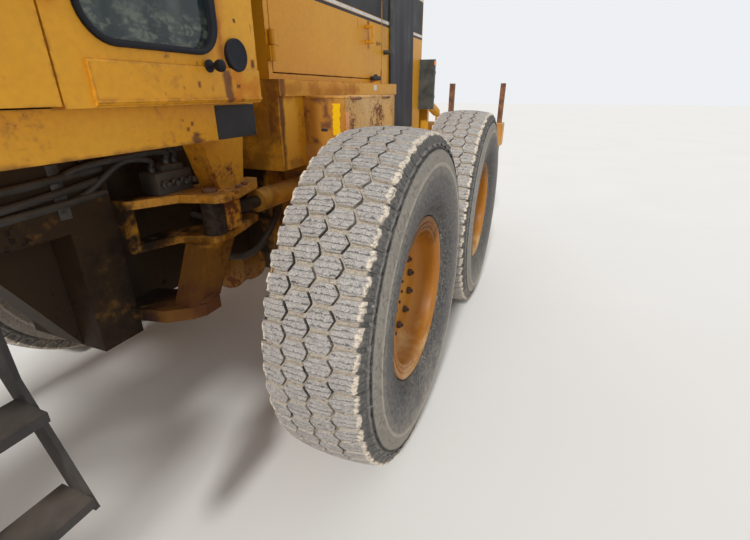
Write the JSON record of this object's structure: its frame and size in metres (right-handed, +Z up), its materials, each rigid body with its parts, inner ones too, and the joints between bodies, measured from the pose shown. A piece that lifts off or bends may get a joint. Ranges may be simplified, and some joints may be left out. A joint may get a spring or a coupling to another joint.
{
  "type": "motor grader",
  "caption": "Articulated motor grader with closed cab, long arched frame, turning blade under it, leaning front wheels, tandem rear wheels and a rear ripper.",
  "frame": {"origin": "middle of the machine's box, on the ground", "axes": "+X forward along the machine, +Y to its left, +Z up"},
  "size_m": [9.195, 3.66, 3.16],
  "materials": {
    "yellow_paint": "worn ochre yellow paint with dust and rust",
    "rusty_box": "ochre paint heavily speckled with rust",
    "black_steel": "satin black",
    "grey_iron": "oily dark grey",
    "lamp_case": "dark case with lens",
    "curtain": "soft black sheet",
    "tyre": "dusty worn rubber",
    "rod": "polished",
    "rusty_iron": "brown rust",
    "orange_paint": "faded orange yellow",
    "glass": "slightly dusty",
    "seat": "dark seat cover and console",
    "exhaust": "heat-tinted dark steel"
  },
  "bodies": {
    "rear_frame": {"rear_chassis": "yellow_paint", "hitch_nose": "yellow_paint", "rear_plate": "yellow_paint", "powertrain": "grey_iron", "hood_shell": "yellow_paint", "rear_grille": "black_steel", "side_curtains": "curtain", "side_tanks": "yellow_paint", "step_boxes": "rusty_box", "tandem_drive": "yellow_paint", "hood_stacks": "exhaust", "rear_fittings": "lamp_case"},
    "front_frame": {"front_frame": "yellow_paint", "hitch_ears": "yellow_paint", "cab_platform": "yellow_paint", "cab_shell": "yellow_paint", "cab_roof": "yellow_paint", "cab_glass": "glass", "cab_interior": "seat", "cab_fittings": "black_steel", "head_lamps": "lamp_case", "front_axle": "yellow_paint"},
    "engine_door_left": {"engine_door_left": "yellow_paint"},
    "engine_door_right": {"engine_door_right": "yellow_paint"},
    "cab_door_left": {"cab_door_left": "yellow_paint", "door_glass_left": "glass"},
    "cab_door_right": {"cab_door_right": "yellow_paint", "door_glass_right": "glass"},
    "ripper": {"ripper_beam": "orange_paint", "ripper_shanks": "rusty_iron"},
    "ripper_barrels": {"ripper_barrels": "yellow_paint"},
    "ripper_rods": {"ripper_rods": "rod"},
    "lean_bar": {"lean_bar": "yellow_paint"},
    "lift_barrels": {"lift_barrels": "yellow_paint"},
    "lift_rods": {"lift_rods": "rod"},
    "shift_barrel": {"shift_barrel": "yellow_paint"},
    "shift_rod": {"shift_rod": "rod"},
    "drawbar": {"drawbar": "yellow_paint"},
    "circle": {"circle": "yellow_paint"},
    "moldboard": {"moldboard": "yellow_paint"},
    "lean_yoke_left": {"lean_yoke_left": "yellow_paint"},
    "knuckle_left": {"knuckle_left": "grey_iron"},
    "artic_barrel_left": {"artic_barrel_left": "yellow_paint"},
    "artic_rod_left": {"artic_rod_left": "rod"},
    "wheel_middle_left": {"rim_middle_left": "yellow_paint", "tyre_middle_left": "tyre"},
    "wheel_rear_left": {"rim_rear_left": "yellow_paint", "tyre_rear_left": "tyre"},
    "wheel_front_left": {"rim_front_left": "yellow_paint", "tyre_front_left": "tyre"},
    "lean_yoke_right": {"lean_yoke_right": "yellow_paint"},
    "knuckle_right": {"knuckle_right": "grey_iron"},
    "artic_barrel_right": {"artic_barrel_right": "yellow_paint"},
    "artic_rod_right": {"artic_rod_right": "rod"},
    "wheel_middle_right": {"rim_middle_right": "yellow_paint", "tyre_middle_right": "tyre"},
    "wheel_rear_right": {"rim_rear_right": "yellow_paint", "tyre_rear_right": "tyre"},
    "wheel_front_right": {"rim_front_right": "yellow_paint", "tyre_front_right": "tyre"}
  },
  "joints": [
    {"name": "articulation", "type": "hinge", "parent": "rear_frame", "child": "front_frame", "pos_m": [-0.8375, 0, 0.95], "axis": [0, 0, 1], "range_deg": [-20, 20]},
    {"name": "artic_barrel_left_swing", "type": "hinge", "parent": "rear_frame", "child": "artic_barrel_left", "pos_m": [-1.9875, 0.42, 1.0275], "axis": [0, 0, 1], "range_deg": [-2.09, 2.09]},
    {"name": "artic_rod_left_slide", "type": "slide", "parent": "artic_barrel_left", "child": "artic_rod_left", "axis": [1, 0, 0], "range_m": [-0.1428, 0.1428]},
    {"name": "artic_barrel_right_swing", "type": "hinge", "parent": "rear_frame", "child": "artic_barrel_right", "pos_m": [-1.9875, -0.42, 1.0275], "axis": [0, 0, 1], "range_deg": [-2.09, 2.09]},
    {"name": "artic_rod_right_slide", "type": "slide", "parent": "artic_barrel_right", "child": "artic_rod_right", "axis": [1, 0, 0], "range_m": [-0.1428, 0.1428]},
    {"name": "wheel_middle_left_spin", "type": "hinge", "parent": "rear_frame", "child": "wheel_middle_left", "pos_m": [-1.2375, 1.03, 0.678], "axis": [0, 1, 0], "continuous": true},
    {"name": "wheel_middle_right_spin", "type": "hinge", "parent": "rear_frame", "child": "wheel_middle_right", "pos_m": [-1.2375, -1.03, 0.678], "axis": [0, 1, 0], "continuous": true},
    {"name": "wheel_rear_left_spin", "type": "hinge", "parent": "rear_frame", "child": "wheel_rear_left", "pos_m": [-2.7595, 1.03, 0.678], "axis": [0, 1, 0], "continuous": true},
    {"name": "wheel_rear_right_spin", "type": "hinge", "parent": "rear_frame", "child": "wheel_rear_right", "pos_m": [-2.7595, -1.03, 0.678], "axis": [0, 1, 0], "continuous": true},
    {"name": "lean_left", "type": "hinge", "parent": "front_frame", "child": "lean_yoke_left", "pos_m": [3.9195, 0.63, 0.6], "axis": [1, 0, 0], "range_deg": [-18, 18]},
    {"name": "steer_left", "type": "hinge", "parent": "lean_yoke_left", "child": "knuckle_left", "pos_m": [3.9195, 0.77, 0.678], "axis": [0, 0, 1], "range_deg": [-50, 50]},
    {"name": "wheel_front_left_spin", "type": "hinge", "parent": "knuckle_left", "child": "wheel_front_left", "pos_m": [3.9195, 1.02, 0.678], "axis": [0, 1, 0], "continuous": true},
    {"name": "lean_right", "type": "hinge", "parent": "front_frame", "child": "lean_yoke_right", "pos_m": [3.9195, -0.63, 0.6], "axis": [1, 0, 0], "range_deg": [-18, 18]},
    {"name": "steer_right", "type": "hinge", "parent": "lean_yoke_right", "child": "knuckle_right", "pos_m": [3.9195, -0.77, 0.678], "axis": [0, 0, 1], "range_deg": [-50, 50]},
    {"name": "wheel_front_right_spin", "type": "hinge", "parent": "knuckle_right", "child": "wheel_front_right", "pos_m": [3.9195, -1.02, 0.678], "axis": [0, 1, 0], "continuous": true},
    {"name": "lean_bar_slide", "type": "slide", "parent": "front_frame", "child": "lean_bar", "axis": [0, 1, 0], "range_m": [-0.0928, 0.0928]},
    {"name": "drawbar_lift", "type": "hinge", "parent": "front_frame", "child": "drawbar", "pos_m": [3.4825, 0, 0.9], "axis": [0, 1, 0], "range_deg": [0, 10]},
    {"name": "lift_barrels_swing", "type": "hinge", "parent": "front_frame", "child": "lift_barrels", "pos_m": [1.6125, 0, 1.85], "axis": [0, 1, 0], "range_deg": [-5.26, 0]},
    {"name": "lift_rods_slide", "type": "slide", "parent": "lift_barrels", "child": "lift_rods", "axis": [0, 0, 1], "range_m": [0, 0.32097]},
    {"name": "shift_barrel_swing", "type": "hinge", "parent": "front_frame", "child": "shift_barrel", "pos_m": [1.3625, 0.425, 1.45], "axis": [1, 0, 0], "range_deg": [-24.61, 0]},
    {"name": "shift_rod_slide", "type": "slide", "parent": "shift_barrel", "child": "shift_rod", "axis": [0, 0.8717, 0.49], "range_m": [0, 0.11002]},
    {"name": "circle_turn", "type": "hinge", "parent": "drawbar", "child": "circle", "pos_m": [1.6625, 0, 0.815], "axis": [0, 0, 1], "range_deg": [-50, 50]},
    {"name": "blade_side_shift", "type": "slide", "parent": "circle", "child": "moldboard", "axis": [0, 1, 0], "range_m": [-0.5, 0.5]},
    {"name": "cab_door_left_open", "type": "hinge", "parent": "front_frame", "child": "cab_door_left", "pos_m": [-0.3425, 0.666, 2.2], "axis": [0, 0, 1], "range_deg": [0, 85]},
    {"name": "engine_door_left_open", "type": "hinge", "parent": "rear_frame", "child": "engine_door_left", "pos_m": [-1.3525, 0.475, 1.9], "axis": [0, 0, -1], "range_deg": [0, 90]},
    {"name": "cab_door_right_open", "type": "hinge", "parent": "front_frame", "child": "cab_door_right", "pos_m": [-0.3425, -0.666, 2.2], "axis": [0, 0, -1], "range_deg": [0, 85]},
    {"name": "engine_door_right_open", "type": "hinge", "parent": "rear_frame", "child": "engine_door_right", "pos_m": [-1.3525, -0.475, 1.9], "axis": [0, 0, 1], "range_deg": [0, 90]},
    {"name": "ripper_lift", "type": "hinge", "parent": "rear_frame", "child": "ripper", "pos_m": [-3.7375, 0, 0.95], "axis": [0, 1, 0], "range_deg": [-22, 8]},
    {"name": "ripper_barrels_swing", "type": "hinge", "parent": "rear_frame", "child": "ripper_barrels", "pos_m": [-3.7375, 0, 1.4], "axis": [0, 1, 0], "range_deg": [-17.26, 6.29]},
    {"name": "ripper_rods_slide", "type": "slide", "parent": "ripper_barrels", "child": "ripper_rods", "axis": [-0.9624, 0, -0.2718], "range_m": [-0.05829, 0.16013]}
  ],
  "couplings": [
    {"joint": "artic_barrel_left_swing", "follows": "articulation", "ratio": -0.10392},
    {"joint": "artic_rod_left_slide", "follows": "articulation", "m_per_rad": -0.40879},
    {"joint": "artic_barrel_right_swing", "follows": "articulation", "ratio": -0.10392},
    {"joint": "artic_rod_right_slide", "follows": "articulation", "m_per_rad": 0.40879},
    {"joint": "lean_right", "follows": "lean_left", "ratio": 1},
    {"joint": "steer_right", "follows": "steer_left", "ratio": 1},
    {"joint": "lean_bar_slide", "follows": "lean_left", "m_per_rad": -0.29509},
    {"joint": "lift_barrels_swing", "follows": "drawbar_lift", "ratio": -0.52511},
    {"joint": "lift_rods_slide", "follows": "drawbar_lift", "m_per_rad": 1.8385},
    {"joint": "shift_barrel_swing", "follows": "drawbar_lift", "ratio": -2.4581},
    {"joint": "shift_rod_slide", "follows": "drawbar_lift", "m_per_rad": 0.6298},
    {"joint": "ripper_barrels_swing", "follows": "ripper_lift", "ratio": 0.78385},
    {"joint": "ripper_rods_slide", "follows": "ripper_lift", "m_per_rad": -0.41678}
  ]
}
